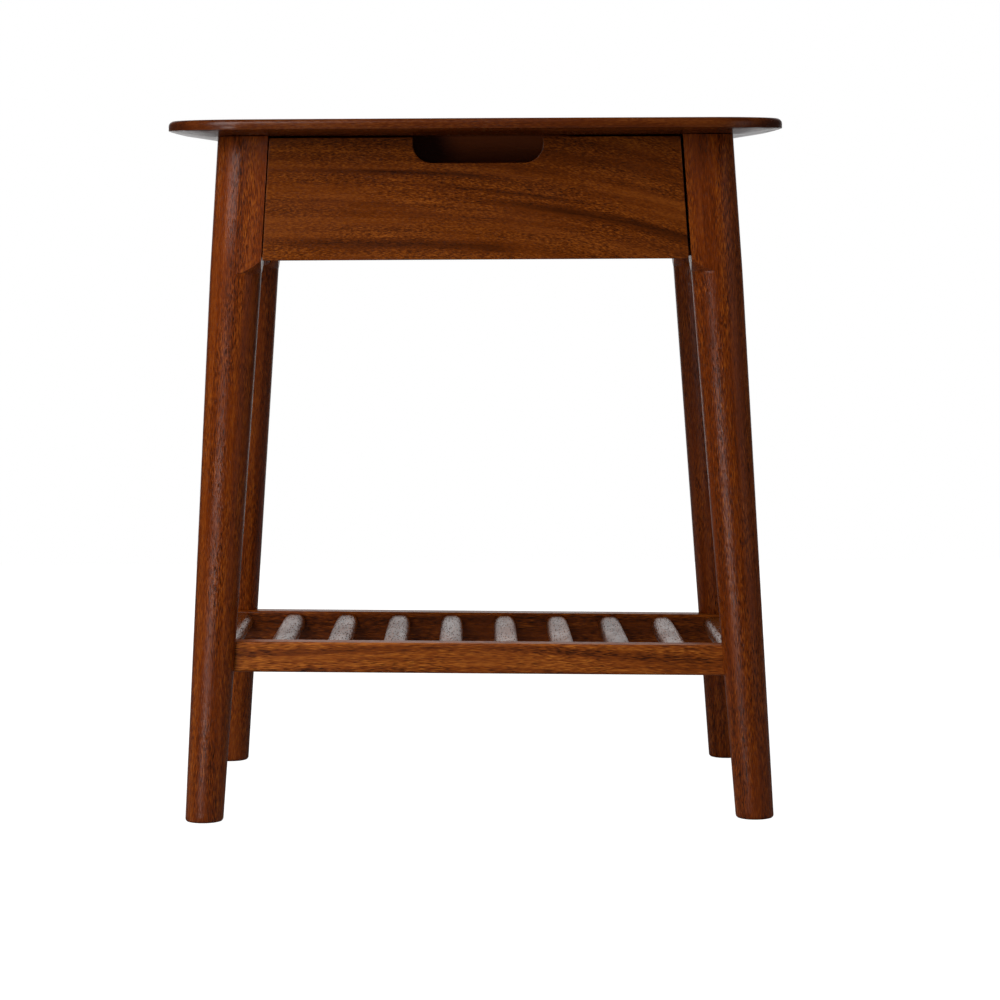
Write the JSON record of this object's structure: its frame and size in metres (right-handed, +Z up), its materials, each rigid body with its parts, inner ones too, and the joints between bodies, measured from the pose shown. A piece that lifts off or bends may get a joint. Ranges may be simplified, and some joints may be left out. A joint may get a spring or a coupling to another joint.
{
  "type": "side table",
  "caption": "Small hardwood side table with a soft rectangular top, splayed turned legs, a drawer with a scooped finger slot and a slatted lower shelf.",
  "frame": {"origin": "on the floor, under the middle of the table", "axes": "+Z up, -Y towards the drawer front, +X to the right seen from the front"},
  "size_m": [0.498, 0.3654, 0.56],
  "materials": {
    "top_wood": "satin lacquer, straight long grain",
    "leg_wood": "satin lacquer over turned grain",
    "drawer_front_wood": "satin lacquer, ribbon-striped figure",
    "apron_wood": "satin lacquer",
    "shelf_wood": "satin lacquer",
    "drawer_box_wood": "thin matt lacquer",
    "inner_wood": "unfinished, planed",
    "screw_steel": "zinc plated"
  },
  "bodies": {
    "frame": {"tabletop": "top_wood", "front_left_leg": "leg_wood", "front_right_leg": "leg_wood", "rear_left_leg": "leg_wood", "rear_right_leg": "leg_wood", "left_side_apron": "apron_wood", "right_side_apron": "apron_wood", "rear_apron": "apron_wood", "upper_drawer_rail": "apron_wood", "lower_drawer_rail": "apron_wood", "left_drawer_runner": "inner_wood", "right_drawer_runner": "inner_wood", "left_drawer_guide": "inner_wood", "right_drawer_guide": "inner_wood", "left_drawer_kicker": "inner_wood", "right_drawer_kicker": "inner_wood", "drawer_stops": "inner_wood", "front_shelf_rail": "shelf_wood", "rear_shelf_rail": "shelf_wood", "tabletop_buttons": "inner_wood", "tabletop_screws": "screw_steel", "runner_screws": "screw_steel", "slat_01": "shelf_wood", "slat_02": "shelf_wood", "slat_03": "shelf_wood", "slat_04": "shelf_wood", "slat_05": "shelf_wood", "slat_06": "shelf_wood", "slat_07": "shelf_wood", "slat_08": "shelf_wood", "slat_09": "shelf_wood", "slat_10": "shelf_wood"},
    "drawer": {"drawer_front": "drawer_front_wood", "drawer_left_side": "drawer_box_wood", "drawer_right_side": "drawer_box_wood", "drawer_back": "drawer_box_wood", "drawer_bottom": "drawer_box_wood", "drawer_catch": "drawer_box_wood", "drawer_catch_screw": "screw_steel", "drawer_bottom_screws": "screw_steel"}
  },
  "joints": [
    {"name": "drawer_slide", "type": "slide", "parent": "frame", "child": "drawer", "axis": [0, -1, 0], "range_m": [0, 0.169]}
  ]
}
